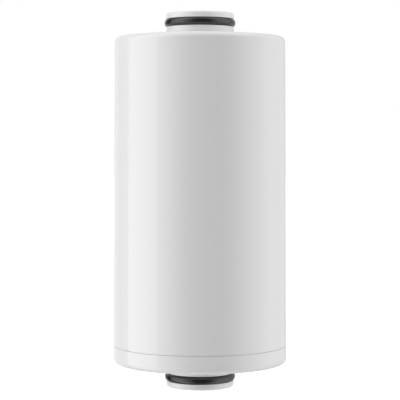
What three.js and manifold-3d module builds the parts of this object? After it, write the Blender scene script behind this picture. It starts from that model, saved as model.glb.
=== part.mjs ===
// Replaceable cartridge for an in-line shower filter: a closed white cylinder with a short
// O-ringed spigot on its axis at each end, packed with layers of filter media.
// Millimetres, +Z up. The origin is the centre of the lower spigot's end face.

import * as THREE from "three";
import { mergeVertices } from "three/addons/utils/BufferGeometryUtils.js";
import Module from "manifold-3d";

const wasm = await Module();
wasm.setup();

// ---- Driving dimensions ----
const BODY_RADIUS = 38; // outside, at the body's middle height
const BODY_HEIGHT = 144.4; // between the two shoulders
const DRAFT = 0.0055; // mm of radius per mm of height, wider towards the cap
const WALL = 2.5;
const END_WALL = 3;
const TOP_EDGE_RADIUS = 2.4;
const CAP_EDGE_RADIUS = 2.3;
const CAP_HEIGHT = 8; // from the lower shoulder to the seam
const SEAM_CHAMFER = 0.22; // each side of the seam, a shallow V all round

const SPIGOT_RADIUS = 14.95;
const SPIGOT_LENGTH = 10.5;
const SPIGOT_END_RADIUS = 1;
const BORE_RADIUS = 9.7;
const BORE_CHAMFER = 0.5;
const PORT_RADIUS = 8.5; // the smaller hole through the end wall, behind the strainer

const O_RING_SECTION = 3.5;
const O_RING_OUTER = 15.68; // fitted, stretched over its groove
const O_RING_FROM_SHOULDER = 6.1;
const GROOVE_WIDTH = 3.7;
const GROOVE_CLEARANCE = 0.1; // between the ring and the groove's floor

const TONGUE_HEIGHT = 6; // above the seam, inside the shell
const TONGUE_WALL = 2;
const TONGUE_LEAD_IN = 0.6;
const FLASH_TRAP_WIDTH = 0.6; // ring groove beside the tongue, which takes the weld's flash
const FLASH_TRAP_DEPTH = 1.5;

const RIB_COUNT = 8;
const RIB_WIDTH = 1.8;
const LOWER_RIB_HEIGHT = 4;
const UPPER_RIB_HEIGHT = 3.5;
const RIB_INNER_RADIUS = 11;

const STRAINER_CLEARANCE = 0.3;
const STRAINER_MESH = 0.5;
const STRAINER_FRAME = 2;
const STRAINER_RIM = 1.4;
const STRAINER_BAR = 1.2;

const FIT = 0.3; // round the discs and layers inside the wall
const PLATE_THICKNESS = 2.5;
const PLATE_HOLE_RADIUS = 2.2;
const PLATE_HOLE_PITCH = 9.2;
const SCREEN_THICKNESS = 0.6;
const FELT_THICKNESS = 4;
const DIVIDER_THICKNESS = 3;
const BALL_LAYER = 20;
const SULPHITE_LAYER = 25;
const COPPER_ZINC_LAYER = 10;

const AROUND = 48; // facets round the axis
const ARC_STEPS = 4; // facets round an edge
const HOLE_SIDES = 8;
const WINDOW_STEPS = 6; // facets along a strainer window's arc

// ---- Heights worked out from them ----
const capFace = SPIGOT_LENGTH;
const seam = capFace + CAP_HEIGHT;
const bodyTop = capFace + BODY_HEIGHT;
const overallHeight = bodyTop + SPIGOT_LENGTH;
const bodyMiddle = capFace + BODY_HEIGHT / 2;
const tongueTop = seam + TONGUE_HEIGHT;
const grooveFloor = O_RING_OUTER - O_RING_SECTION - GROOVE_CLEARANCE;

const outerRadius = (z) => BODY_RADIUS - DRAFT * (z - bodyMiddle);
const innerRadius = (z) => outerRadius(z) - WALL;
const tongueOuter = innerRadius(seam) - FIT;
const tongueInner = tongueOuter - TONGUE_WALL;

// ---- Making solids ----

// Points of an arc in the radius-height plane, angles in degrees, anticlockwise when it rises.
function arc(centreR, centreZ, radius, from, to) {
  return Array.from({ length: ARC_STEPS + 1 }, (_, i) => {
    const a = THREE.MathUtils.degToRad(from + ((to - from) * i) / ARC_STEPS);
    return [centreR + radius * Math.cos(a), centreZ + radius * Math.sin(a)];
  });
}

// A profile of [radius, height] points, anticlockwise with the axis on its left, turned about Z.
function turned(profile) {
  const points = profile.map(([r, z]) => new THREE.Vector2(r, z));
  return new THREE.LatheGeometry(points, AROUND).rotateX(Math.PI / 2);
}

// A turned ring or tube: its profile closes on itself.
const turnedRing = (profile) => turned([...profile, profile[0]]);

// A turned disc or plug: its profile starts and ends on the axis.
const disc = (radius, low, high) => turned([[0, low], [radius, low], [radius, high], [0, high]]);

// Corners of a regular polygon, for a round outline or a round hole.
function roundOutline(radius, sides, x = 0, y = 0) {
  return Array.from({ length: sides }, (_, i) => {
    const a = (2 * Math.PI * i) / sides;
    return new THREE.Vector2(x + radius * Math.cos(a), y + radius * Math.sin(a));
  });
}

// A flat piece of even thickness, pierced by holes, lying on a height.
function pierced(outline, holes, thickness, low) {
  const shape = new THREE.Shape(outline);
  shape.holes = holes.map((points) => new THREE.Path(points));
  const options = { depth: thickness, bevelEnabled: false };
  return new THREE.ExtrudeGeometry(shape, options).translate(0, 0, low);
}

function toSolid(geometry) {
  const bare = geometry.clone();
  bare.deleteAttribute("normal");
  bare.deleteAttribute("uv");
  const merged = mergeVertices(bare, 1e-4);
  return new wasm.Manifold(
    new wasm.Mesh({
      numProp: 3,
      vertProperties: merged.attributes.position.array,
      triVerts: new Uint32Array(merged.index.array),
    }),
  );
}

function toGeometry(solid) {
  const { vertProperties, triVerts } = solid.getMesh();
  const geometry = new THREE.BufferGeometry();
  geometry.setAttribute("position", new THREE.BufferAttribute(vertProperties, 3));
  geometry.setIndex(new THREE.BufferAttribute(triVerts, 1));
  geometry.computeVertexNormals();
  return geometry;
}

// Upright radial ribs between two radii and two heights, joined to a body.
function withRibs(body, inner, outer, low, high) {
  let solid = toSolid(body);
  for (let i = 0; i < RIB_COUNT; i++) {
    const rib = new THREE.BoxGeometry(outer - inner, RIB_WIDTH, high - low)
      .translate((inner + outer) / 2, 0, (low + high) / 2)
      .rotateZ((2 * Math.PI * (i + 0.5)) / RIB_COUNT);
    solid = solid.add(toSolid(rib));
  }
  return toGeometry(solid);
}

// ---- Spigots, one profile used at both ends ----

// The outside of a spigot from its end face to its shoulder, as [radius, distance from the end].
function spigotOutside() {
  const ring = SPIGOT_LENGTH - O_RING_FROM_SHOULDER;
  return [
    [BORE_RADIUS + BORE_CHAMFER, 0],
    ...arc(SPIGOT_RADIUS - SPIGOT_END_RADIUS, SPIGOT_END_RADIUS, SPIGOT_END_RADIUS, -90, 0),
    [SPIGOT_RADIUS, ring - GROOVE_WIDTH / 2],
    [grooveFloor, ring - GROOVE_WIDTH / 2],
    [grooveFloor, ring + GROOVE_WIDTH / 2],
    [SPIGOT_RADIUS, ring + GROOVE_WIDTH / 2],
    [SPIGOT_RADIUS, SPIGOT_LENGTH],
  ];
}

// The inside, from the end wall's inner face back out to the end face, as the same pairs.
const spigotInside = () => [
  [PORT_RADIUS, SPIGOT_LENGTH + END_WALL],
  [PORT_RADIUS, SPIGOT_LENGTH],
  [BORE_RADIUS, SPIGOT_LENGTH],
  [BORE_RADIUS, BORE_CHAMFER],
];

// The same profile seen from the other end, which reverses its order.
const fromTop = (profile) => profile.map(([r, d]) => [r, overallHeight - d]).reverse();

// ---- Housing ----

// Cup with the upper spigot: drafted wall, rounded shoulder, ribs under the end wall.
function housingShell() {
  const wallFoot = outerRadius(seam);
  const shoulder = outerRadius(bodyTop) - TOP_EDGE_RADIUS;
  const ceiling = bodyTop - END_WALL;
  const body = turnedRing([
    [innerRadius(seam), seam],
    [wallFoot - SEAM_CHAMFER, seam],
    [wallFoot, seam + SEAM_CHAMFER],
    ...arc(shoulder, bodyTop - TOP_EDGE_RADIUS, TOP_EDGE_RADIUS, 0, 90),
    ...fromTop(spigotOutside()),
    ...fromTop(spigotInside()),
    [innerRadius(ceiling), ceiling],
  ]);
  const into = WALL / 2;
  return withRibs(body, RIB_INNER_RADIUS, innerRadius(ceiling) + into, ceiling - UPPER_RIB_HEIGHT,
    ceiling + into);
}

// Closing cap with the lower spigot: skirt, weld tongue inside the shell, ribs on its floor.
function bottomCap() {
  const floor = capFace + END_WALL;
  const edge = outerRadius(capFace) - CAP_EDGE_RADIUS;
  const body = turnedRing([
    ...spigotOutside(),
    ...arc(edge, capFace + CAP_EDGE_RADIUS, CAP_EDGE_RADIUS, -90, 0),
    [outerRadius(seam), seam - SEAM_CHAMFER],
    [outerRadius(seam) - SEAM_CHAMFER, seam],
    [tongueOuter + FLASH_TRAP_WIDTH, seam],
    [tongueOuter + FLASH_TRAP_WIDTH, seam - FLASH_TRAP_DEPTH],
    [tongueOuter, seam - FLASH_TRAP_DEPTH],
    [tongueOuter, tongueTop - TONGUE_LEAD_IN],
    [tongueOuter - TONGUE_LEAD_IN, tongueTop],
    [tongueInner, tongueTop],
    [tongueInner, floor],
    ...spigotInside(),
  ]);
  const into = TONGUE_WALL / 2;
  return withRibs(body, RIB_INNER_RADIUS, tongueInner + into, floor - into, floor + LOWER_RIB_HEIGHT);
}

// Round-section ring lying in its groove.
function oRing(z) {
  const half = O_RING_SECTION / 2;
  return new THREE.TorusGeometry(O_RING_OUTER - half, half, 12, AROUND).translate(0, 0, z);
}

// ---- Strainers in the bores ----

// Moulded ring with a cross of two bars: a disc with four quarter-round windows.
function strainerFrame(low) {
  const outer = BORE_RADIUS - STRAINER_CLEARANCE;
  const window = outer - STRAINER_RIM;
  const bar = STRAINER_BAR / 2;
  const start = Math.asin(bar / window);
  const step = (Math.PI / 2 - 2 * start) / WINDOW_STEPS;
  const quarter = [new THREE.Vector2(bar, bar)];
  for (let i = 0; i <= WINDOW_STEPS; i++) {
    const a = start + step * i;
    quarter.push(new THREE.Vector2(window * Math.cos(a), window * Math.sin(a)));
  }
  const centre = new THREE.Vector2();
  const windows = [0.5, 1.5, 2.5, 3.5].map((turn) =>
    quarter.map((corner) => corner.clone().rotateAround(centre, (turn * Math.PI) / 2)));
  return pierced(roundOutline(outer, AROUND), windows, STRAINER_FRAME, low);
}

const strainerMesh = (low) => disc(BORE_RADIUS - STRAINER_CLEARANCE, low, low + STRAINER_MESH);

// ---- Filling ----

// Plate with round holes on a triangular grid, leaving a plain rim.
function supportPlate(radius, low) {
  const reach = radius - 2 * PLATE_HOLE_RADIUS;
  const rowStep = (PLATE_HOLE_PITCH * Math.sqrt(3)) / 2;
  const rows = Math.ceil(reach / rowStep);
  const across = Math.ceil(reach / PLATE_HOLE_PITCH);
  const holes = [];
  for (let row = -rows; row <= rows; row++) {
    for (let column = -across; column <= across; column++) {
      const x = PLATE_HOLE_PITCH * (column + (row % 2 === 0 ? 0 : 0.5));
      const y = row * rowStep;
      if (Math.hypot(x, y) > reach) continue;
      holes.push(roundOutline(PLATE_HOLE_RADIUS, HOLE_SIDES, x, y));
    }
  }
  return pierced(roundOutline(radius, AROUND), holes, PLATE_THICKNESS, low);
}

// The filling stands between the cap's ribs and the top wall's ribs.
const fillingFloor = capFace + END_WALL + LOWER_RIB_HEIGHT;
const fillingTop = bodyTop - END_WALL - UPPER_RIB_HEIGHT;

const finishes = {
  white_abs: { color: 0xf2f3f2, roughness: 0.22, metalness: 0 },
  black_rubber: { color: 0x1b1c1e, roughness: 0.5, metalness: 0 },
  natural_pp: { color: 0xe4e4dc, roughness: 0.5, metalness: 0 },
  stainless: { color: 0xb9bcc0, roughness: 0.35, metalness: 1 },
  felt: { color: 0xf0efe9, roughness: 1, metalness: 0 },
  ceramic: { color: 0xb98a63, roughness: 0.7, metalness: 0 },
  sulphite: { color: 0xe9e6dc, roughness: 0.9, metalness: 0 },
  copper_zinc: { color: 0xb58a3c, roughness: 0.4, metalness: 1 },
  carbon: { color: 0x1c1c1d, roughness: 0.9, metalness: 0 },
};

const cartridge = new THREE.Group();
cartridge.name = "shower_filter_cartridge";

function addPart(name, geometry, finish) {
  const mesh = new THREE.Mesh(geometry, new THREE.MeshStandardMaterial(finishes[finish]));
  mesh.name = name;
  cartridge.add(mesh);
}

addPart("housing_shell", housingShell(), "white_abs");
addPart("bottom_cap", bottomCap(), "white_abs");
addPart("upper_o_ring", oRing(bodyTop + O_RING_FROM_SHOULDER), "black_rubber");
addPart("lower_o_ring", oRing(capFace - O_RING_FROM_SHOULDER), "black_rubber");

// The mesh lies on the ledge where the bore narrows, and the frame holds it there.
addPart("upper_strainer_mesh", strainerMesh(bodyTop), "stainless");
addPart("upper_strainer_frame", strainerFrame(bodyTop + STRAINER_MESH), "natural_pp");
addPart("lower_strainer_mesh", strainerMesh(capFace - STRAINER_MESH), "stainless");
addPart("lower_strainer_frame", strainerFrame(capFace - STRAINER_MESH - STRAINER_FRAME), "natural_pp");

// A layer inside the tongue, or above it inside the wall, has a clearance all round.
const layerRadius = (low, high) => (low < tongueTop ? tongueInner : innerRadius(high)) - FIT;

const carbonTop = fillingTop - PLATE_THICKNESS - SCREEN_THICKNESS - FELT_THICKNESS;
let level = fillingFloor;

// Lays a disc of a given height on what is already there.
function layer(name, height, finish, shape = disc) {
  const low = level;
  level += height;
  addPart(name, shape(layerRadius(low, level), low, level), finish);
}

layer("lower_support_plate", PLATE_THICKNESS, "natural_pp", supportPlate);
layer("lower_screen", SCREEN_THICKNESS, "stainless");
layer("lower_felt_pad", FELT_THICKNESS, "felt");
layer("ceramic_ball_bed", BALL_LAYER, "ceramic");
layer("lower_divider_pad", DIVIDER_THICKNESS, "felt");
layer("sulphite_bed", SULPHITE_LAYER, "sulphite");
layer("middle_divider_pad", DIVIDER_THICKNESS, "felt");
layer("copper_zinc_bed", COPPER_ZINC_LAYER, "copper_zinc");
layer("upper_divider_pad", DIVIDER_THICKNESS, "felt");
layer("carbon_bed", carbonTop - level, "carbon");
layer("upper_felt_pad", FELT_THICKNESS, "felt");
layer("upper_screen", SCREEN_THICKNESS, "stainless");
layer("upper_support_plate", PLATE_THICKNESS, "natural_pp", supportPlate);

export default cartridge;
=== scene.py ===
"""A shower filter cartridge in a plain white studio.

The sections follow the cartridge as it is put together: the cap first, then the filling layer by
layer, the shell over it, and last the strainers and seals in the two spigots. Metres, +Z up, with the
origin at the centre of the lower spigot's end face.
"""

import math

import bpy
import numpy as np
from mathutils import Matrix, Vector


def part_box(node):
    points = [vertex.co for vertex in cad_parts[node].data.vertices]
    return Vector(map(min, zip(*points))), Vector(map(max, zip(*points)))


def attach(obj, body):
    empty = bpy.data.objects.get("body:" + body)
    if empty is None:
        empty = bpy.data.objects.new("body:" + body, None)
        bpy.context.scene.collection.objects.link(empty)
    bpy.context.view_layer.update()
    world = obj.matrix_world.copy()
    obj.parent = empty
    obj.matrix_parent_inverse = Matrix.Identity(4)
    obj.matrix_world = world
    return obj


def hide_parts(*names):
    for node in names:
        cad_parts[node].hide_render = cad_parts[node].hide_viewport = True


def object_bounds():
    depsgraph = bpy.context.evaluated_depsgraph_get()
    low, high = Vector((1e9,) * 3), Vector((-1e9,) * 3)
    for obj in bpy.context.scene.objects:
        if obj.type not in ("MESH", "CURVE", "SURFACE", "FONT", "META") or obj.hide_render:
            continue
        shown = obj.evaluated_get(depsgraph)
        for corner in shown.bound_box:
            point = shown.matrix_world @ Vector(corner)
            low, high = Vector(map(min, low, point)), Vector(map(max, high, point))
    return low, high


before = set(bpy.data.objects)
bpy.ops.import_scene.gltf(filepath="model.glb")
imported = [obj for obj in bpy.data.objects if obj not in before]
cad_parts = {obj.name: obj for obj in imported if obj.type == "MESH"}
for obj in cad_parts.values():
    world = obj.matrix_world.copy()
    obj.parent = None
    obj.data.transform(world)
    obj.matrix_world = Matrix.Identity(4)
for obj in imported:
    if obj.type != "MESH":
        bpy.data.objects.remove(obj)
cad_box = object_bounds()


# ---------------------------------------------------------------------------------------------
# Bottom cap. White ABS, injection moulded in one shot: end wall, skirt, lower spigot with the
# seal's groove, and inside it the weld tongue and the ribs that carry the filling. It is spun
# into the shell's rim, where friction welds the two, and a hairline gap is left all round.

END_WALL = 0.003
CAP_EDGE = 0.0023                # radius of the cap's lower edge
DRAFT = 0.0055                   # growth of the radius per unit of height, going down
SPIGOT_RADIUS = 0.01495
SPIGOT_EDGE = 0.001              # radius of the spigot's outer end edge
BORE_RADIUS = 0.0097
PORT_RADIUS = 0.0085             # the hole on through the end wall
GROOVE_GAP = 0.00001             # the groove is wider than its ring by this on each side
GROOVE_FLOOR_GAP = 0.00002       # between the ring and the groove's floor
GROOVE_LIP = 0.00006             # radius of the groove's two lips
GROOVE_ROOT = 0.0003             # radius of the groove's two inner corners
SPIGOT_ROOT = 0.0005             # radius where the spigot meets the shoulder
PORT_EDGE = 0.0004
TONGUE_WALL = 0.002
TONGUE_LEAD_IN = 0.0006          # radius of the tongue's outer tip
TONGUE_TIP = 0.0003              # and of its inner one
TONGUE_ROOT = 0.0006
FLASH_TRAP_WIDTH = 0.0006        # a ring groove beside the tongue, which takes the weld's flash
FLASH_TRAP_DEPTH = 0.0015
FIT = 0.0003                     # round the layers inside the wall
CRISP = 0.0001                   # radius of an edge that the mould leaves sharp
SEAM_GAP = 0.00015
SEAM_DEPTH = 0.0005
SEAM_EDGE = 0.00018              # radius of the two lips of the seam
RIB_BEARINGS = np.arange(22.5, 360, 45)      # degrees from +X
RIB_WIDTH = 0.0018
RIB_INNER = 0.011
RIB_ROOT = 0.0005                # how far a rib reaches into the wall that it stands on
BORE_CHAMFER = 0.0005
WALL_STEP = 0.004                # longest face along a wall
AROUND = 240                     # faces round a wall
FINE_ARC, COARSE_ARC = 11, 30    # degrees to a face, round a large edge and round a small one
SMALL_EDGE = 0.0004              # an edge up to this radius is small

cap_low, cap_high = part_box("bottom_cap")
shell_low, shell_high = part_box("housing_shell")
lower_ring_low, lower_ring_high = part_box("lower_o_ring")
lower_plate_low, lower_plate_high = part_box("lower_support_plate")

seam = shell_low.z
seam_radius = shell_high.x
ring_section = lower_ring_high.z - lower_ring_low.z
ring_outer = lower_ring_high.x
groove_floor = ring_outer - ring_section - GROOVE_FLOOR_GAP
shoulder_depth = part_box("lower_strainer_mesh")[1].z      # the spigot's length, from end to shoulder
tongue_inner = lower_plate_high.x + FIT
tongue_outer = tongue_inner + TONGUE_WALL


def wall_radius(z):
    """The body's outer radius at a height: it falls evenly from the seam upwards, by the draft."""
    return seam_radius - DRAFT * (z - seam)


def rounded(corners):
    """A closed outline in the radius-height plane from (radius, height, rounding) corners. Each corner
    with a rounding becomes the arc that touches both of its sides."""
    corners = np.array(corners, float)
    outline = []
    for before, here, after in zip(np.roll(corners, 1, 0), corners, np.roll(corners, -1, 0)):
        point, rounding = here[:2], here[2]
        if rounding == 0:
            outline.append(point[None])
            continue
        back = (before[:2] - point) / np.linalg.norm(before[:2] - point)
        ahead = (after[:2] - point) / np.linalg.norm(after[:2] - point)
        half = math.acos(np.clip(back @ ahead, -1, 1)) / 2
        middle = (back + ahead) / np.linalg.norm(back + ahead)
        centre = point + middle * rounding / math.sin(half)
        reach = rounding / math.tan(half)
        start, end = point + back * reach - centre, point + ahead * reach - centre
        turn = math.pi - 2 * half
        steps = max(2, math.ceil(turn / math.radians(FINE_ARC if rounding > SMALL_EDGE else COARSE_ARC)))
        share = np.linspace(0, 1, steps + 1)[:, None]
        # between two radii of one circle: their blend by sines keeps to the arc
        arc = (np.sin((1 - share) * turn) * start + np.sin(share * turn) * end) / math.sin(turn)
        outline.append(centre + arc)
    return np.vstack(outline)


def stepped(outline, longest, closed=True):
    """The same outline with points added, so that no straight stretch is longer than a step."""
    ends = np.roll(outline, -1, 0) if closed else outline[1:]
    pieces = []
    for a, b in zip(outline, ends):
        count = max(1, math.ceil(np.linalg.norm(b - a) / longest))
        pieces.append(a + (b - a) * (np.arange(count) / count)[:, None])
    if not closed:
        pieces.append(outline[-1:])
    return np.vstack(pieces)


def make_piece(name, points, faces, sharp=40):
    """A mesh object from arrays of points and faces, smooth but for edges over an angle in degrees."""
    mesh = bpy.data.meshes.new(name)
    rows = [f.tolist() for f in (faces if isinstance(faces, list) else [faces])]
    mesh.from_pydata(points.tolist(), [], [face for part in rows for face in part])
    mesh.polygons.foreach_set("use_smooth", np.ones(len(mesh.polygons), bool))
    mesh.set_sharp_from_angle(angle=math.radians(sharp))
    mesh.update()
    piece = bpy.data.objects.new(name, mesh)
    bpy.context.scene.collection.objects.link(piece)
    return piece


def grid_faces(along, around, closed):
    """Four-sided faces between the points of a grid whose second direction closes on itself."""
    i, j = np.meshgrid(np.arange(along if closed else along - 1), np.arange(around), indexing="ij")
    next_i, next_j = (i + 1) % along, (j + 1) % around
    corners = [i * around + j, i * around + next_j, next_i * around + next_j, next_i * around + j]
    return np.stack(corners, -1).reshape(-1, 4)


def turned_ring(outline, around):
    """Points and faces of a closed outline carried round the Z axis: x = r cos a, y = r sin a, z = z."""
    a = np.linspace(0, 2 * np.pi, around, endpoint=False)
    r, z = outline[:, :1], outline[:, 1:]
    points = np.stack([r * np.cos(a), r * np.sin(a), z + 0 * a], -1).reshape(-1, 3)
    return points, grid_faces(len(outline), around, True)


def turned_solid(outline, around):
    """The same for an outline from the axis and back to it, whose two ends are single points."""
    points, faces = turned_ring(outline[1:-1], around)
    faces = faces[: (len(outline) - 3) * around]
    poles = np.array([[0, 0, outline[0, 1]], [0, 0, outline[-1, 1]]])
    j = np.arange(around)
    next_j = (j + 1) % around
    last = (len(outline) - 3) * around
    low = np.stack([np.full(around, len(points)), next_j, j], -1)
    high = np.stack([np.full(around, len(points) + 1), last + j, last + next_j], -1)
    return np.vstack([points, poles]), [faces, low, high]


def spigot(end, direction):
    """Corners of a spigot's outside from its end face to its shoulder. A distance from the end face
    is turned into a height by the end's height and its direction, +1 at the bottom, -1 at the top."""
    middle = (lower_ring_low.z + lower_ring_high.z) / 2 - cap_low.z
    half = ring_section / 2 + GROOVE_GAP
    corners = [
        (BORE_RADIUS + BORE_CHAMFER, 0, CRISP),
        (SPIGOT_RADIUS, 0, SPIGOT_EDGE),
        (SPIGOT_RADIUS, middle - half, GROOVE_LIP),
        (groove_floor, middle - half, GROOVE_ROOT),
        (groove_floor, middle + half, GROOVE_ROOT),
        (SPIGOT_RADIUS, middle + half, GROOVE_LIP),
        (SPIGOT_RADIUS, shoulder_depth, SPIGOT_ROOT),
    ]
    return [(r, end + direction * d, rounding) for r, d, rounding in corners]


def spigot_bore(end, direction):
    """Corners of a spigot's inside, from the end wall's inner face out to the end face."""
    corners = [
        (PORT_RADIUS, shoulder_depth + END_WALL, PORT_EDGE),
        (PORT_RADIUS, shoulder_depth, CRISP),
        (BORE_RADIUS, shoulder_depth, CRISP),
        (BORE_RADIUS, BORE_CHAMFER, CRISP),
    ]
    return [(r, end + direction * d, rounding) for r, d, rounding in corners]


def block_with_round_top(length, width, height):
    """Points and faces of a rib along X: an upright outline, rounded at its top, carried along."""
    a = np.linspace(0, np.pi, 7)
    top = np.column_stack([width / 2 * np.cos(a), height - width / 2 + width / 2 * np.sin(a)])
    side = np.vstack([[width / 2, 0], top, [-width / 2, 0]])
    start = np.column_stack([np.zeros(len(side)), side])
    points = np.vstack([start, start + [length, 0, 0]])
    n = len(side)
    j = np.arange(n)
    sides = np.stack([j, (j + 1) % n, (j + 1) % n + n, j + n], -1)
    return points, [sides, np.arange(n)[None, ::-1], np.arange(n)[None] + n]


def joined(parts):
    """Several meshes as one: their points in a row, and each one's faces counted on from the last."""
    points, faces, start = [], [], 0
    for part_points, part_faces in parts:
        points.append(part_points)
        faces += [rows + start for rows in part_faces]
        start += len(part_points)
    return np.vstack(points), faces


def radial_ribs(inner, outer, root, tip, width, bearings):
    """Ribs from an inner to an outer radius, standing on one height and ending at another above or
    below it: one rib along X, turned about Z to each bearing, in degrees."""
    points, faces = block_with_round_top(outer - inner, width, abs(tip - root))
    up = np.sign(tip - root)
    points = points * [1, up, up] + [inner, 0, root]         # a half turn about X where they hang
    ribs = []
    for a in np.radians(bearings):
        turn = np.array([[np.cos(a), np.sin(a), 0], [-np.sin(a), np.cos(a), 0], [0, 0, 1]])
        ribs.append((points @ turn, faces))
    return joined(ribs)


def cut_or_join(piece, points, faces, operation):
    """Joins a second closed mesh to a piece, or cuts it out, and leaves one clean surface."""
    tool = make_piece("tool", points, faces)
    step = piece.modifiers.new("tool", "BOOLEAN")
    step.operation, step.object, step.solver = operation, tool, "EXACT"
    seen = bpy.context.evaluated_depsgraph_get()
    result = bpy.data.meshes.new_from_object(piece.evaluated_get(seen))
    piece.modifiers.clear()
    piece.data = result
    result.polygons.foreach_set("use_smooth", np.ones(len(result.polygons), bool))
    result.set_sharp_from_angle(angle=math.radians(35))
    bpy.data.objects.remove(tool)
    piece.modifiers.new("flat faces stay flat", "WEIGHTED_NORMAL").keep_sharp = True


cap_face = cap_low.z + shoulder_depth
cap_floor = cap_face + END_WALL
lip = seam - SEAM_GAP
cap_outline = rounded([
    *spigot(cap_low.z, 1),
    (wall_radius(cap_face), cap_face, CAP_EDGE),
    (wall_radius(lip), lip, SEAM_EDGE),
    (wall_radius(lip) - SEAM_DEPTH, lip, 0),
    (wall_radius(lip) - SEAM_DEPTH, seam, 0),
    (tongue_outer + FLASH_TRAP_WIDTH, seam, CRISP),
    (tongue_outer + FLASH_TRAP_WIDTH, seam - FLASH_TRAP_DEPTH, CRISP),
    (tongue_outer, seam - FLASH_TRAP_DEPTH, CRISP),
    (tongue_outer, cap_high.z, TONGUE_LEAD_IN),
    (tongue_inner, cap_high.z, TONGUE_TIP),
    (tongue_inner, cap_floor, TONGUE_ROOT),
    *spigot_bore(cap_low.z, 1),
])
cap = make_piece("cap_moulding", *turned_ring(stepped(cap_outline, WALL_STEP), AROUND))
cap_ribs = radial_ribs(RIB_INNER, tongue_inner + TONGUE_WALL / 2, cap_floor - RIB_ROOT,
                       lower_plate_low.z, RIB_WIDTH, RIB_BEARINGS)
cut_or_join(cap, *cap_ribs, "UNION")


def node_group(name, inputs, outputs):
    """An empty shader node group with named number, colour and vector sockets."""
    group = bpy.data.node_groups.new(name, "ShaderNodeTree")
    for label, kind, value in inputs:
        socket = group.interface.new_socket(label, in_out="INPUT", socket_type="NodeSocket" + kind)
        if value is not None:
            socket.default_value = value
    for label, kind in outputs:
        group.interface.new_socket(label, in_out="OUTPUT", socket_type="NodeSocket" + kind)
    return group, group.nodes.new("NodeGroupInput"), group.nodes.new("NodeGroupOutput")


def add_node(tree, kind, inputs=(), **settings):
    """A node with its settings, and its inputs set to a value or linked to a socket."""
    node = tree.nodes.new("ShaderNode" + kind)
    for key, value in settings.items():
        setattr(node, key, value)
    for key, value in dict(inputs).items():
        if isinstance(value, bpy.types.NodeSocket):
            tree.links.new(value, node.inputs[key])
        else:
            node.inputs[key].default_value = value
    return node


def scaled(tree, value, low, high):
    """A number from 0 to 1 stretched to run from low to high."""
    return add_node(tree, "MapRange", {"Value": value, "To Min": low, "To Max": high}).outputs["Result"]


# The skin of a moulding: cloudy tone where the melt cooled unevenly, faint streaks along the draw,
# and a very shallow orange peel. Its outputs vary over the surface and feed colour, roughness and bump.
skin, skin_in, skin_out = node_group(
    "moulded_skin",
    [("Vector", "Vector", None), ("Colour", "Color", (1, 1, 1, 1)), ("Cloud", "Float", 0.02),
     ("Roughness", "Float", 0.15), ("Roughness spread", "Float", 0.03), ("Peel size", "Float", 300)],
    [("Colour", "Color"), ("Roughness", "Float"), ("Height", "Float")])
cloud = add_node(skin, "TexNoise", {"Vector": skin_in.outputs["Vector"], "Scale": 28, "Detail": 3})
draw_lines = add_node(skin, "Mapping", {"Vector": skin_in.outputs["Vector"], "Scale": (260, 260, 6)})
streak = add_node(skin, "TexNoise", {"Vector": draw_lines.outputs["Vector"], "Scale": 1, "Detail": 2})
peel = add_node(skin, "TexNoise", {
    "Vector": skin_in.outputs["Vector"], "Scale": skin_in.outputs["Peel size"], "Detail": 1})
mottle = add_node(skin, "Math", {0: cloud.outputs["Fac"], 1: streak.outputs["Fac"]}, operation="ADD")
dimming = add_node(skin, "Math", {0: mottle.outputs[0], 1: skin_in.outputs["Cloud"]}, operation="MULTIPLY")
shade = add_node(skin, "Math", {0: 1.0, 1: dimming.outputs[0]}, operation="SUBTRACT")
tone = add_node(skin, "VectorMath", {
    0: skin_in.outputs["Colour"], "Scale": shade.outputs[0]}, operation="SCALE")
uneven = add_node(skin, "Math", {
    0: streak.outputs["Fac"], 1: skin_in.outputs["Roughness spread"],
    2: skin_in.outputs["Roughness"]}, operation="MULTIPLY_ADD")
height = add_node(skin, "Math", {0: streak.outputs["Fac"], 1: 0.35, 2: peel.outputs["Fac"]},
                  operation="MULTIPLY_ADD")
skin.links.new(tone.outputs["Vector"], skin_out.inputs["Colour"])
skin.links.new(uneven.outputs[0], skin_out.inputs["Roughness"])
skin.links.new(height.outputs[0], skin_out.inputs["Height"])


def plain_material(name, **constants):
    """A material with one Principled shader, given plain values by socket name, and its own
    Object coordinates. Returns the material, its tree, the shader and the coordinates."""
    material = bpy.data.materials.new(name)
    material.use_nodes = True
    tree = material.node_tree
    shader = tree.nodes["Principled BSDF"]
    for key, value in constants.items():
        shader.inputs[key.replace("_", " ")].default_value = value
    place = add_node(tree, "TexCoord").outputs["Object"]
    return material, tree, shader, place


def bumped(tree, shader, height, depth):
    """Leads a height to the shader's normal as relief of a depth in metres."""
    bump = add_node(tree, "Bump", {"Height": height, "Distance": depth, "Strength": 1.0})
    tree.links.new(bump.outputs["Normal"], shader.inputs["Normal"])


def moulded(name, peel_depth, skin_values, **constants):
    """A moulded plastic: the skin group with its own values, led to colour, roughness and relief."""
    material, tree, shader, place = plain_material(name, **constants)
    group = add_node(tree, "Group", node_tree=skin)
    for label, value in skin_values.items():
        group.inputs[label].default_value = value
    tree.links.new(place, group.inputs["Vector"])
    tree.links.new(group.outputs["Colour"], shader.inputs["Base Color"])
    tree.links.new(group.outputs["Roughness"], shader.inputs["Roughness"])
    bumped(tree, shader, group.outputs["Height"], peel_depth)
    return material


white_abs = moulded("white_abs", 0.000006, {
    "Colour": (0.875, 0.878, 0.878, 1), "Cloud": 0.012, "Roughness": 0.045, "Roughness spread": 0.02,
    "Peel size": 420}, IOR=1.5)


def settle(piece, material, slot, *nodes):
    """Gives a finished piece its material, hangs it on the root and hides the CAD nodes that it stands for.
    The slot is not used.
    """
    piece.data.materials.clear()
    piece.data.materials.append(material)
    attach(piece, "root")
    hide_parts(*nodes)


settle(cap, white_abs, "white_abs", "bottom_cap")


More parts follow.
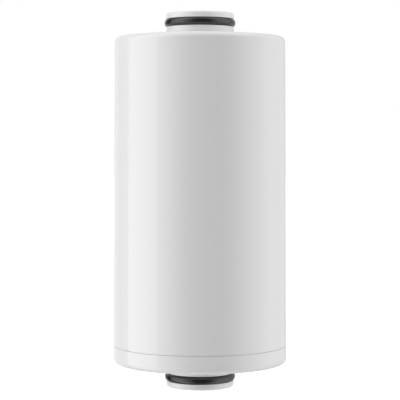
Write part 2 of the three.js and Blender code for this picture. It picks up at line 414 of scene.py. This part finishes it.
# ---------------------------------------------------------------------------------------------
# Support plates. Natural polypropylene discs, moulded with flared round holes on a triangular grid.
# The lower one lies on the cap's ribs and the upper one under the shell's, with the filling between.

HOLE_RADIUS = 0.0022
HOLE_PITCH = 0.0092
HOLE_FLARE = 0.0004
PLATE_EDGE = 0.0004
EJECTOR_RADIUS = 0.0016
EJECTOR_DEPTH = 0.00015
EJECTOR_FROM_RIM = 1.6           # of its own radius
EJECTOR_BEARINGS = np.radians([30, 90, 150, 210, 270, 330])
OVERSHOOT = 0.0005               # how far a cutting shape stands out of the face that it cuts
PLATE_STEP = 0.006

natural_pp = moulded("natural_pp", 0.00001, {
    "Colour": (0.76, 0.76, 0.72, 1), "Cloud": 0.05, "Roughness": 0.34, "Roughness spread": 0.12,
    "Peel size": 900}, IOR=1.49, Subsurface_Weight=0.25, Subsurface_Scale=0.002)


def layer_of(node):
    """Radius, floor and top of a round layer."""
    low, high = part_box(node)
    return high.x, low.z, high.z


def disc(radius, floor, top, edge, longest, around):
    """A turned disc with rounded edges, in steps no longer than one size across its faces."""
    outline = rounded([(0, floor, 0), (radius, floor, edge), (radius, top, edge), (0, top, 0)])
    return turned_solid(stepped(outline, longest, closed=False), around)


def hole_grid(reach):
    """Centres of a triangular grid within a reach: every second row is shifted by half a pitch."""
    n = math.ceil(reach / HOLE_PITCH) + 1
    row, column = np.mgrid[-n:n + 1, -n:n + 1]
    x = (HOLE_PITCH * (column + 0.5 * (row % 2))).ravel()
    y = (HOLE_PITCH * math.sqrt(0.75) * row).ravel()
    kept = np.hypot(x, y) <= reach
    return x[kept], y[kept]


def support_plate(name, node, ejector_side):
    """A disc less a plug at each grid point. A plug is a turned solid, its radius the hole's plus a
    flare that follows a quarter circle at both faces."""
    radius, floor, top = layer_of(node)
    plate = make_piece(name, *disc(radius, floor, top, PLATE_EDGE, PLATE_STEP, 144))
    a = np.linspace(0, np.pi / 2, 5)
    flare_out, flare_in = HOLE_FLARE * (1 - np.sin(a)), HOLE_FLARE * (1 - np.cos(a))
    low_side = np.column_stack([HOLE_RADIUS + flare_out, floor + flare_in])
    low_side = np.vstack([[0, floor - OVERSHOOT], [HOLE_RADIUS + HOLE_FLARE, floor - OVERSHOOT], low_side])
    plug = np.vstack([low_side, low_side[::-1] * [1, -1] + [0, floor + top]])
    plug_points, plug_faces = turned_solid(plug, 28)
    x, y = hole_grid(radius - 2 * HOLE_RADIUS)
    plugs = [(plug_points + [cx, cy, 0], plug_faces) for cx, cy in zip(x, y)]
    cut_or_join(plate, *joined(plugs), "DIFFERENCE")

    # shallow round marks of the ejector pins, near the rim between the holes
    face = top if ejector_side > 0 else floor
    pin = [(0, -EJECTOR_DEPTH), (EJECTOR_RADIUS, -EJECTOR_DEPTH), (EJECTOR_RADIUS, OVERSHOOT),
           (0, OVERSHOOT)]
    if ejector_side < 0:
        pin = [(r, -z) for r, z in pin][::-1]
    pin_points, pin_faces = turned_solid(np.array(pin) + [0, face], 28)
    reach = radius - EJECTOR_FROM_RIM * EJECTOR_RADIUS
    marks = [(pin_points + [reach * math.cos(a), reach * math.sin(a), 0], pin_faces)
             for a in EJECTOR_BEARINGS]
    cut_or_join(plate, *joined(marks), "DIFFERENCE")
    settle(plate, natural_pp, "natural_pp", node)


support_plate("lower_plate_moulding", "lower_support_plate", 1)
support_plate("upper_plate_moulding", "upper_support_plate", -1)


# ---------------------------------------------------------------------------------------------
# Screens. Discs punched from plain-woven stainless wire cloth, one on each plate. They keep the
# grains and the felt off the plates' holes.

SCREEN_PITCH = 0.0018
WIRE_SIDES = 6
WIRE_STEPS = 8                   # lengths of wire to one pitch
WIRE_SLACK = 0.97                # the wires' thickness over the most that two crossed ones could have

stainless_wire, tree, shader, place = plain_material("stainless_wire", Metallic=1.0)
drawn = add_node(tree, "TexNoise", {"Vector": place, "Scale": 900, "Detail": 2})
tarnish = add_node(tree, "TexNoise", {"Vector": place, "Scale": 120, "Detail": 3})
wire_tone = add_node(tree, "ValToRGB", {"Fac": tarnish.outputs["Fac"]})
wire_tone.color_ramp.elements[0].color = (0.43, 0.43, 0.435, 1)
wire_tone.color_ramp.elements[1].color = (0.62, 0.615, 0.61, 1)
tree.links.new(wire_tone.outputs["Color"], shader.inputs["Base Color"])
tree.links.new(scaled(tree, drawn.outputs["Fac"], 0.2, 0.42), shader.inputs["Roughness"])
bumped(tree, shader, drawn.outputs["Fac"], 0.000006)


def woven_disc(name, node, pitch):
    """Plain weave in a disc. A wire crosses it at a whole number of pitches, and its centre's height
    is a cosine of the length along it, half a wave to a pitch. The next wire is half a wave on, and
    the wires across wave the other way. Radius at an angle b of a wire is half its thickness."""
    radius, floor, top = layer_of(node)
    wire = (top - floor) / 2 * WIRE_SLACK
    swing = (top - floor - wire) / 2
    b = np.linspace(0, 2 * np.pi, WIRE_SIDES, endpoint=False)
    count = int((radius - wire) / pitch)
    wires = []
    for number in range(-count, count + 1):
        offset = number * pitch
        half_chord = math.sqrt((radius - wire) ** 2 - offset ** 2)
        along = np.linspace(-half_chord, half_chord, max(4, round(WIRE_STEPS * half_chord / pitch)))
        wave = np.pi * (along / pitch + number)
        height = swing * np.cos(wave)
        slope = -swing * np.pi / pitch * np.sin(wave)
        length = np.hypot(1, slope)
        level = offset + wire / 2 * np.cos(b) + 0 * along[:, None]
        run = along[:, None] - (wire / 2 * slope / length)[:, None] * np.sin(b)
        rise = height[:, None] + (wire / 2 / length)[:, None] * np.sin(b)
        middle = (floor + top) / 2
        sides = grid_faces(len(along), WIRE_SIDES, False)
        start, end = np.arange(WIRE_SIDES)[None], np.arange(WIRE_SIDES)[None] + (len(along) - 1) * WIRE_SIDES
        warp = np.stack([run, level, middle + rise], -1).reshape(-1, 3)
        weft = np.stack([level, run, middle - rise], -1).reshape(-1, 3)
        wires += [(warp, [sides, start[:, ::-1], end]), (weft, [sides, start[:, ::-1], end])]
    weave = make_piece(name, *joined(wires), sharp=70)
    settle(weave, stainless_wire, "stainless_wire", node)


woven_disc("lower_screen_weave", "lower_screen", SCREEN_PITCH)
woven_disc("upper_screen_weave", "upper_screen", SCREEN_PITCH)


# ---------------------------------------------------------------------------------------------
# Felt pads. Needled polyester, die cut: a thick one at each end catches sediment, and thinner
# ones keep the layers apart. The filling presses them into shallow waves.

FELT_EDGE = 0.0009
FELT_RIPPLE = 0.0002
FELT_INSET = 0.0002
WAVES = 7
WAVE_LENGTHS = (0.008, 0.024)
FELT_STEP = 0.0012
EDGE_WAVES = 3                   # times as fine round the edge as on the faces

felt, tree, shader, place = plain_material("polyester_felt", Roughness=0.95, Sheen_Weight=0.35,
                                           Sheen_Roughness=0.5)
fibres = []
for turn in (0.3, 1.4, 2.4):
    laid = add_node(tree, "Mapping", {"Vector": place, "Rotation": (0, 0, turn), "Scale": (500, 3800, 1500)})
    fibres.append(add_node(tree, "TexNoise", {"Vector": laid.outputs["Vector"], "Scale": 1, "Detail": 2,
                                              "Distortion": 0.6}).outputs["Fac"])
crossed = add_node(tree, "Math", {0: fibres[0], 1: fibres[1]}, operation="MAXIMUM")
mat_height = add_node(tree, "Math", {0: crossed.outputs[0], 1: fibres[2]}, operation="MAXIMUM")
tufts = add_node(tree, "TexNoise", {"Vector": place, "Scale": 260, "Detail": 3})
depth = add_node(tree, "Math", {0: tufts.outputs["Fac"], 1: 0.8, 2: mat_height.outputs[0]},
                 operation="MULTIPLY_ADD")
# The colour follows the fibre height: painted shade, darker where the mat lies low between the fibres.
felt_colour_with_painted_shade = add_node(tree, "ValToRGB", {"Fac": mat_height.outputs[0]})
felt_colour_with_painted_shade.color_ramp.elements[0].position = 0.42
felt_colour_with_painted_shade.color_ramp.elements[0].color = (0.62, 0.6, 0.56, 1)
felt_colour_with_painted_shade.color_ramp.elements[1].position = 0.7
felt_colour_with_painted_shade.color_ramp.elements[1].color = (0.88, 0.87, 0.84, 1)
tree.links.new(felt_colour_with_painted_shade.outputs["Color"], shader.inputs["Base Color"])
bumped(tree, shader, depth.outputs[0], 0.00012)


def waves(x, y, seed):
    """From 0 to 1 over the plane: the mean of a few cosines, each along its own bearing with its own
    length and start, all drawn from a seed."""
    draw = np.random.default_rng(seed)
    bearing, start = draw.uniform(0, 2 * np.pi, (2, WAVES))
    length = draw.uniform(*WAVE_LENGTHS, WAVES)
    across = x[:, None] * np.cos(bearing) + y[:, None] * np.sin(bearing)
    return 0.5 + 0.5 * np.cos(2 * np.pi * across / length + start).mean(-1)


def felt_pad(name, node, seed):
    """A disc with a soft edge, each face of it pressed in by the waves times the ripple."""
    radius, floor, top = layer_of(node)
    points, faces = disc(radius - FELT_INSET, floor, top, FELT_EDGE, FELT_STEP, 180)
    x, y, z = points.T
    middle = (floor + top) / 2
    press = np.where(z > middle, waves(x, y, seed), waves(x, y, seed + 1)) * FELT_RIPPLE
    z = middle + (z - middle) * (1 - press / (top - middle))
    edge = radius - np.hypot(x, y) < 2 * FELT_EDGE
    inward = 1 - np.where(edge, FELT_RIPPLE / radius * waves(x * EDGE_WAVES, y * EDGE_WAVES, seed + 2), 0)
    pad = make_piece(name, np.column_stack([x * inward, y * inward, z]), faces, sharp=80)
    settle(pad, felt, "polyester_felt", node)


felt_pad("lower_felt", "lower_felt_pad", 11)
felt_pad("lower_divider_felt", "lower_divider_pad", 21)
felt_pad("middle_divider_felt", "middle_divider_pad", 31)
felt_pad("upper_divider_felt", "upper_divider_pad", 41)
felt_pad("upper_felt", "upper_felt_pad", 51)


# ---------------------------------------------------------------------------------------------
# Ceramic balls. Fired mineral clay rolled into balls and poured on the lowest felt, in browns and
# greys that differ from ball to ball.

BALL_RADIUS = 0.0025
BALL_FILL = 0.56                 # share of the layer that the balls take up
BALL_ROUNDS = 120
BALL_SPREAD = (0.93, 1)          # of the radius, along each of a ball's own three axes

# Loose stuff is coloured piece by piece: a tone that each one has, mixed with mottling over its face.
mottled, mottled_in, mottled_out = node_group(
    "mottled_grain",
    [("Vector", "Vector", None), ("Tone", "Float", 0.5), ("Mottling", "Float", 0.4),
     ("Size", "Float", 900), ("Dark", "Color", (0.1, 0.1, 0.1, 1)), ("Light", "Color", (0.9, 0.9, 0.9, 1))],
    [("Colour", "Color"), ("Height", "Float")])
speck = add_node(mottled, "TexNoise", {
    "Vector": mottled_in.outputs["Vector"], "Scale": mottled_in.outputs["Size"], "Detail": 4})
pits = add_node(mottled, "TexVoronoi", {
    "Vector": mottled_in.outputs["Vector"], "Scale": mottled_in.outputs["Size"]})
balance = add_node(mottled, "Mix", {
    "Factor": mottled_in.outputs["Mottling"], 2: mottled_in.outputs["Tone"], 3: speck.outputs["Fac"]})
hue = add_node(mottled, "Mix", {
    0: balance.outputs[0], 6: mottled_in.outputs["Dark"], 7: mottled_in.outputs["Light"]}, data_type="RGBA")
roughened = add_node(mottled, "Math", {0: pits.outputs["Distance"], 1: 0.5, 2: speck.outputs["Fac"]},
                     operation="MULTIPLY_ADD")
mottled.links.new(hue.outputs[2], mottled_out.inputs["Colour"])
mottled.links.new(roughened.outputs[0], mottled_out.inputs["Height"])


def loose_finish(name, dark, light, mottling, size, relief, rough, **constants):
    """A material for loose stuff: the mottled colour, roughness between two values and relief."""
    material, tree, shader, place = plain_material(name, **constants)
    tone = add_node(tree, "Attribute", attribute_name="tone").outputs["Fac"]
    group = add_node(tree, "Group", node_tree=mottled)
    for label, value in {"Mottling": mottling, "Size": size, "Dark": dark, "Light": light}.items():
        group.inputs[label].default_value = value
    tree.links.new(place, group.inputs["Vector"])
    tree.links.new(tone, group.inputs["Tone"])
    tree.links.new(group.outputs["Colour"], shader.inputs["Base Color"])
    tree.links.new(scaled(tree, group.outputs["Height"], *rough), shader.inputs["Roughness"])
    bumped(tree, shader, group.outputs["Height"], relief)
    return material


def strewn(shape, places, sizes, draw):
    """Copies of a small closed shape, each stretched by its three sizes, turned at random and moved to
    its place. The turn is a matrix from four random numbers taken as a unit quaternion. The shape is
    one set of points, or one for each place."""
    points, faces = shape
    quaternion = draw.normal(size=(4, len(places)))
    w, x, y, z = quaternion / np.linalg.norm(quaternion, axis=0)
    turn = np.array([
        [1 - 2 * (y * y + z * z), 2 * (x * y - w * z), 2 * (x * z + w * y)],
        [2 * (x * y + w * z), 1 - 2 * (x * x + z * z), 2 * (y * z - w * x)],
        [2 * (x * z - w * y), 2 * (y * z + w * x), 1 - 2 * (x * x + y * y)]])
    every = np.einsum("abn,nkb->nka", turn, points * sizes[:, None]) + places[:, None]
    start = np.arange(len(places))[:, None, None] * every.shape[1]
    return every.reshape(-1, 3), [(rows + start).reshape(-1, rows.shape[1]) for rows in faces]


def toned(piece, tones):
    """Stores one number for each point, which the piece's material reads."""
    attribute = piece.data.attributes.new("tone", "FLOAT", "POINT")
    attribute.data.foreach_set("value", tones.astype(np.float32))


def poured(radius, reach, floor, top, draw):
    """Centres of balls in a round layer. Their number is the fill times the layer's volume over a
    ball's. They start anywhere in it, and then, round after round, each two that overlap move apart by
    their overlap and all move back inside."""
    count = int(BALL_FILL * reach ** 2 * (top - floor) * 0.75 / radius ** 3)
    bearing = draw.uniform(0, 2 * np.pi, count)
    out = (reach - radius) * np.sqrt(draw.random(count))
    places = np.column_stack([
        out * np.cos(bearing), out * np.sin(bearing), draw.uniform(floor + radius, top - radius, count)])
    for _ in range(BALL_ROUNDS):
        apart = places[:, None] - places
        distance = np.linalg.norm(apart, axis=-1) + np.eye(count)
        overlap = np.clip(2 * radius - distance, 0, None) / distance
        places += 0.5 * (apart * overlap[..., None]).sum(1)
        out = np.hypot(places[:, 0], places[:, 1])
        places[:, :2] *= np.minimum(1, (reach - radius) / out)[:, None]
        places[:, 2] = np.clip(places[:, 2], floor + radius, top - radius)
    return places


half_circle = np.linspace(-np.pi / 2, np.pi / 2, 7)
ball = turned_solid(np.column_stack([np.cos(half_circle), np.sin(half_circle)]), 10)
draw = np.random.default_rng(3)
centres = poured(BALL_RADIUS, *layer_of("ceramic_ball_bed"), draw)
ball_sizes = BALL_RADIUS * draw.uniform(*BALL_SPREAD, (len(centres), 3))
balls = make_piece("ceramic_balls", *strewn(ball, centres, ball_sizes, draw), sharp=80)
toned(balls, np.repeat(draw.random(len(centres)), len(ball[0])))
clay = loose_finish("mineral_ceramic", (0.2, 0.1, 0.06, 1), (0.62, 0.45, 0.32, 1), 0.35, 1300, 0.00004,
                    (0.6, 0.85))
settle(balls, clay, "mineral_ceramic", "ceramic_ball_bed")


# ---------------------------------------------------------------------------------------------
# Grains. White calcium sulphite against chlorine in warm water, then copper-zinc, then crushed
# activated carbon, each poured on the felt under it and levelled.

GOLDEN_TURN = math.pi * (3 - math.sqrt(5))
SHIFT = 0.3                      # of a grain's size, at random
GRAIN_AREA = 0.4                 # what each grain takes up of the surface, over its size squared
CORE_INSET = 0.25                # of a grain's size, from the grains' centres in to the core
CORNER_SPREAD = (0.74, 1)        # of the radius, corner by corner
GRAIN_SPREAD = (0.72, 1)         # of the size, along each of a grain's own three axes

golden = (1 + math.sqrt(5)) / 2
icosahedron = np.array([
    (-1, golden, 0), (1, golden, 0), (-1, -golden, 0), (1, -golden, 0),
    (0, -1, golden), (0, 1, golden), (0, -1, -golden), (0, 1, -golden),
    (golden, 0, -1), (golden, 0, 1), (-golden, 0, -1), (-golden, 0, 1)]) / math.hypot(1, golden)
icosahedron_faces = np.array([
    (0, 11, 5), (0, 5, 1), (0, 1, 7), (0, 7, 10), (0, 10, 11), (1, 5, 9), (5, 11, 4), (11, 10, 2),
    (10, 7, 6), (7, 1, 8), (3, 9, 4), (3, 4, 2), (3, 2, 6), (3, 6, 8), (3, 8, 9), (4, 9, 5), (2, 4, 11),
    (6, 2, 10), (8, 6, 7), (9, 8, 1)])


def spread(count):
    """Whole numbers, their shares of the count, and bearings that turn by the golden angle."""
    number = np.arange(count)
    return (number + 0.5) / count, number * GOLDEN_TURN


def grain_bed(name, node, size, material, slot, seed):
    """One coat of grains on a core that fills the rest. On the two faces a grain's radius is the reach
    times the square root of its share, on the wall its height is its share, and the bearing turns by
    the golden angle. A grain is an icosahedron whose corners move in or out at random."""
    radius, floor, top = layer_of(node)
    draw = np.random.default_rng(seed)
    reach, low, high = radius - size / 2, floor + size / 2, top - size / 2
    each = GRAIN_AREA * size ** 2
    share, bearing = spread(int(np.pi * reach ** 2 / each))
    face_x, face_y = reach * np.sqrt(share) * np.cos(bearing), reach * np.sqrt(share) * np.sin(bearing)
    wall_share, wall_bearing = spread(int(2 * np.pi * reach * (high - low) / each))
    wall = [reach * np.cos(wall_bearing), reach * np.sin(wall_bearing), low + (high - low) * wall_share]
    places = np.vstack([np.column_stack([face_x, face_y, 0 * face_x + low]),
                        np.column_stack([face_x, face_y, 0 * face_x + high]), np.column_stack(wall)])
    places += draw.uniform(-SHIFT, SHIFT, places.shape) * size
    out = np.hypot(places[:, 0], places[:, 1])
    places[:, :2] *= np.minimum(1, reach / out)[:, None]
    places[:, 2] = np.clip(places[:, 2], low, high)
    corners = icosahedron * draw.uniform(*CORNER_SPREAD, (len(places), len(icosahedron), 1))
    sizes = size / 2 * draw.uniform(*GRAIN_SPREAD, (len(places), 3))
    grains = strewn((corners, [icosahedron_faces]), places, sizes, draw)
    inset = CORE_INSET * size
    core = disc(reach - inset, low + inset, high - inset, size / 2, size, 96)
    bed = make_piece(name, *joined([grains, core]), sharp=25)
    tones = np.repeat(draw.random(len(places)), len(icosahedron))
    # The core takes tone 0, the darkest colour: painted shade in the gaps between the grains.
    toned(bed, np.concatenate([tones, np.zeros(len(core[0]))]))
    settle(bed, material, slot, node)


grain_bed("sulphite_grains", "sulphite_bed", 0.0026, loose_finish(
    "sulphite_grains", (0.56, 0.54, 0.48, 1), (0.88, 0.87, 0.83, 1), 0.4, 1600, 0.00005, (0.75, 0.95)),
    "sulphite_grains", 5)
grain_bed("copper_zinc_grains", "copper_zinc_bed", 0.0017, loose_finish(
    "copper_zinc_grains", (0.45, 0.2, 0.08, 1), (0.72, 0.5, 0.2, 1), 0.35, 2600, 0.00003, (0.28, 0.5),
    Metallic=1.0), "copper_zinc_grains", 6)
grain_bed("carbon_grains", "carbon_bed", 0.0028, loose_finish(
    "activated_carbon", (0.006, 0.006, 0.0065, 1), (0.03, 0.03, 0.032, 1), 0.5, 1500, 0.00008, (0.45, 0.9)),
    "activated_carbon", 7)


# ---------------------------------------------------------------------------------------------
# Shell. The long white ABS cup, moulded on a core with draft: wall, rounded upper shoulder, upper
# spigot and the ribs under the end wall. Its open rim is what the cap is spun into.

WALL = 0.0025
TOP_EDGE = 0.0024                # radius of the shoulder's outer edge
RIM_EDGE = 0.0002                # radius of the open rim's inner edge
CEILING_EDGE = 0.001             # radius between the wall and the end wall, inside

rib_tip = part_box("upper_support_plate")[1].z
top = shell_high.z
body_top = top - shoulder_depth
ceiling = body_top - END_WALL
shell_outline = rounded([
    (wall_radius(seam) - WALL, seam, RIM_EDGE),
    (wall_radius(seam), seam, SEAM_EDGE),
    (wall_radius(body_top), body_top, TOP_EDGE),
    *spigot(top, -1)[::-1],
    *spigot_bore(top, -1)[::-1],
    (wall_radius(ceiling) - WALL, ceiling, CEILING_EDGE),
])
shell = make_piece("shell_moulding", *turned_ring(stepped(shell_outline, WALL_STEP), AROUND))
shell_ribs = radial_ribs(RIB_INNER, wall_radius(ceiling) - WALL / 2, ceiling + RIB_ROOT,
                         rib_tip, RIB_WIDTH, RIB_BEARINGS)
cut_or_join(shell, *shell_ribs, "UNION")
settle(shell, white_abs, "white_abs", "housing_shell")


# ---------------------------------------------------------------------------------------------
# Strainers. In each spigot's bore a disc of fine wire cloth lies on the ledge where the bore
# narrows, and a polypropylene ring with a cross of two bars is pressed in to hold it.

STRAINER_RIM = 0.0014
STRAINER_BAR = 0.0012
STRAINER_PITCH = 0.0009
STRAINER_EDGE = 0.0003
BAR_INSET = 0.0001               # of the cross, from both faces of the ring


def strainer(name, frame_node, mesh_node, outward):
    """A turned ring of rounded section, joined with two bars across it that are round on the outside."""
    radius, floor, top = layer_of(frame_node)
    inner = radius - STRAINER_RIM
    section = rounded([(inner, floor, STRAINER_EDGE), (radius, floor, STRAINER_EDGE),
                       (radius, top, STRAINER_EDGE), (inner, top, STRAINER_EDGE)])
    ring = make_piece(name + "_moulding", *turned_ring(section, 120))
    root, tip = (floor, top) if outward > 0 else (top, floor)
    reach = inner + STRAINER_RIM / 2
    inset = BAR_INSET * outward
    for bearing in (45, 135):
        bar = radial_ribs(-reach, reach, root + inset, tip - inset, STRAINER_BAR, [bearing])
        cut_or_join(ring, *bar, "UNION")
    settle(ring, natural_pp, "natural_pp", frame_node)
    woven_disc(name + "_weave", mesh_node, STRAINER_PITCH)


strainer("lower_strainer", "lower_strainer_frame", "lower_strainer_mesh", -1)
strainer("upper_strainer", "upper_strainer_frame", "upper_strainer_mesh", 1)


# ---------------------------------------------------------------------------------------------
# Seal rings. Round-section black rubber rings, moulded in two halves, so each has a hair of flash
# round its outer and inner equator. They are stretched into the spigots' grooves and greased.

FLASH_HEIGHT = 0.00003
FLASH_WIDTH = 6                  # degrees of the section, to each side of the parting line
SQUARENESS = 2.5                 # the power of the squeezed section, where 2 is a circle

rubber, tree, shader, place = plain_material("black_rubber", IOR=1.55)
bloom = add_node(tree, "TexNoise", {"Vector": place, "Scale": 180, "Detail": 4})
rubber_tone = add_node(tree, "ValToRGB", {"Fac": bloom.outputs["Fac"]})
rubber_tone.color_ramp.elements[0].color = (0.014, 0.0145, 0.015, 1)
rubber_tone.color_ramp.elements[1].color = (0.03, 0.03, 0.031, 1)
tree.links.new(rubber_tone.outputs["Color"], shader.inputs["Base Color"])
tree.links.new(scaled(tree, bloom.outputs["Fac"], 0.1, 0.2), shader.inputs["Roughness"])
grain = add_node(tree, "TexNoise", {"Vector": place, "Scale": 2600, "Detail": 2})
bumped(tree, shader, grain.outputs["Fac"], 0.000008)


def seal_ring(name, node):
    """A ring whose section is a circle squeezed a little square: |across / half| and |up / half|, each
    to the same power, add up to 1. The half size swells by the flash near b = 0 and b = 180 degrees."""
    low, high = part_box(node)
    half = (high.z - low.z) / 2
    b = np.linspace(0, 360, 72, endpoint=False)
    from_line = np.minimum.reduce([np.abs(b), np.abs(b - 180), np.abs(b - 360)])
    swell = half - FLASH_HEIGHT + FLASH_HEIGHT * np.clip(1 - from_line / FLASH_WIDTH, 0, 1)
    across, up = np.cos(np.radians(b)), np.sin(np.radians(b))
    swell /= (np.abs(across) ** SQUARENESS + np.abs(up) ** SQUARENESS) ** (1 / SQUARENESS)
    section = np.column_stack([high.x - half + swell * across, (low.z + high.z) / 2 + swell * up])
    ring = make_piece(name, *turned_ring(section, 360), sharp=60)
    settle(ring, rubber, "black_rubber", node)


seal_ring("upper_seal", "upper_o_ring")
seal_ring("lower_seal", "lower_o_ring")


# ---------------------------------------------------------------------------------------------
# Studio. A pale floor, a lit tent that is bright at both sides and dim in front and behind, and a
# long lens a little above the middle of the cartridge, tipped down.

CAMERA_DISTANCE = 0.6636         # from the cartridge's axis
CAMERA_HEIGHT = 0.1085
CAMERA_TIP = 2.217               # degrees below the horizon
LENS = 134.56

camera_data = bpy.data.cameras.new("camera")
camera_data.sensor_width = 36
camera_data.lens = LENS
camera = bpy.data.objects.new("camera", camera_data)
camera.location = (0, -CAMERA_DISTANCE, CAMERA_HEIGHT)
camera.rotation_euler = (math.radians(90 - CAMERA_TIP), 0, 0)
bpy.context.scene.collection.objects.link(camera)
bpy.context.scene.camera = camera

FLOOR_SIZE = 8
FLOOR_GAP = 0.0001               # below the cartridge
floor_corners = np.array([(-1, -1, 0), (1, -1, 0), (1, 1, 0), (-1, 1, 0)]) * FLOOR_SIZE / 2
floor = make_piece("floor", floor_corners + [0, 0, cad_box[0].z - FLOOR_GAP], np.array([[0, 1, 2, 3]]))
floor.visible_glossy = floor.visible_diffuse = floor.visible_shadow = False    # it only catches shadows
pale, tree, shader, place = plain_material("pale_floor", Roughness=0.9)
shader.inputs["Base Color"].default_value = (0.5, 0.5, 0.5, 1)
shader.inputs["Emission Color"].default_value = (1, 1, 1, 1)
shader.inputs["Emission Strength"].default_value = 0.75
floor.data.materials.append(pale)

world = bpy.data.worlds.new("tent")
bpy.context.scene.world = world
world.use_nodes = True
tree = world.node_tree
tree.nodes.clear()
way = add_node(tree, "TexCoord").outputs["Generated"]
axes = add_node(tree, "SeparateXYZ", {"Vector": way})


def maths(operation, *values):
    """One Math node on sockets or numbers."""
    return add_node(tree, "Math", dict(enumerate(values)), operation=operation).outputs[0]


def ramp(value, start, end):
    """Nothing at the start and 1 at the end, eased at both."""
    return add_node(tree, "MapRange", {"Value": value, "From Min": start, "From Max": end},
                    interpolation_type="SMOOTHSTEP").outputs["Result"]


# Bearing is the angle from the camera's side, positive to the right, and rise the angle over the
# horizon, both in degrees.
bearing = maths("DEGREES", maths("ARCTAN2", axes.outputs["X"], maths("MULTIPLY", axes.outputs["Y"], -1)))
rise = maths("DEGREES", maths("ARCSINE", axes.outputs["Z"]))
off_level = maths("ABSOLUTE", rise)


def panel(brightness, start, end):
    """A bright stretch of the tent, which eases in over the first pair of bearings and out over the
    second."""
    return maths("MULTIPLY", maths("MULTIPLY", ramp(bearing, *start), ramp(bearing, end[1], end[0])),
                 brightness)


left = panel(1.06, (-111, -110), (-62, -57))                               # even, with a hard rear edge
left = maths("ADD", left, panel(1.05, (-112, -68), (-62, -57)))            # brighter towards the front
left = maths("ADD", left, panel(1.23, (-64, -58), (-50, -12)))             # and then fading
right = panel(1.46, (23, 70), (90, 150))
sides = maths("MULTIPLY", maths("ADD", left, right), ramp(off_level, 85, 55))
backdrop = maths("ADD", panel(0.74, (-181, -180), (-158, -126)), panel(0.6, (118, 148), (180, 181)))
overhead = maths("MULTIPLY", ramp(rise, 25, 75), 0.82)
table = maths("MULTIPLY", ramp(rise, -10, -45), 0.09)
glow = maths("ADD", sides, maths("MAXIMUM", backdrop, maths("ADD", overhead, table)))

# The tent lights the cartridge, and the camera sees plain white past the floor.
light = add_node(tree, "Background", {"Color": (1, 1, 1, 1), "Strength": glow})
seen = add_node(tree, "Background", {"Color": (1, 1, 1, 1), "Strength": 1.0})
rays = add_node(tree, "LightPath")
either = add_node(tree, "MixShader", {
    "Fac": rays.outputs["Is Camera Ray"], 1: light.outputs[0], 2: seen.outputs[0]})
add_node(tree, "OutputWorld", {"Surface": either.outputs[0]})
bpy.context.scene.view_settings.view_transform = "Standard"
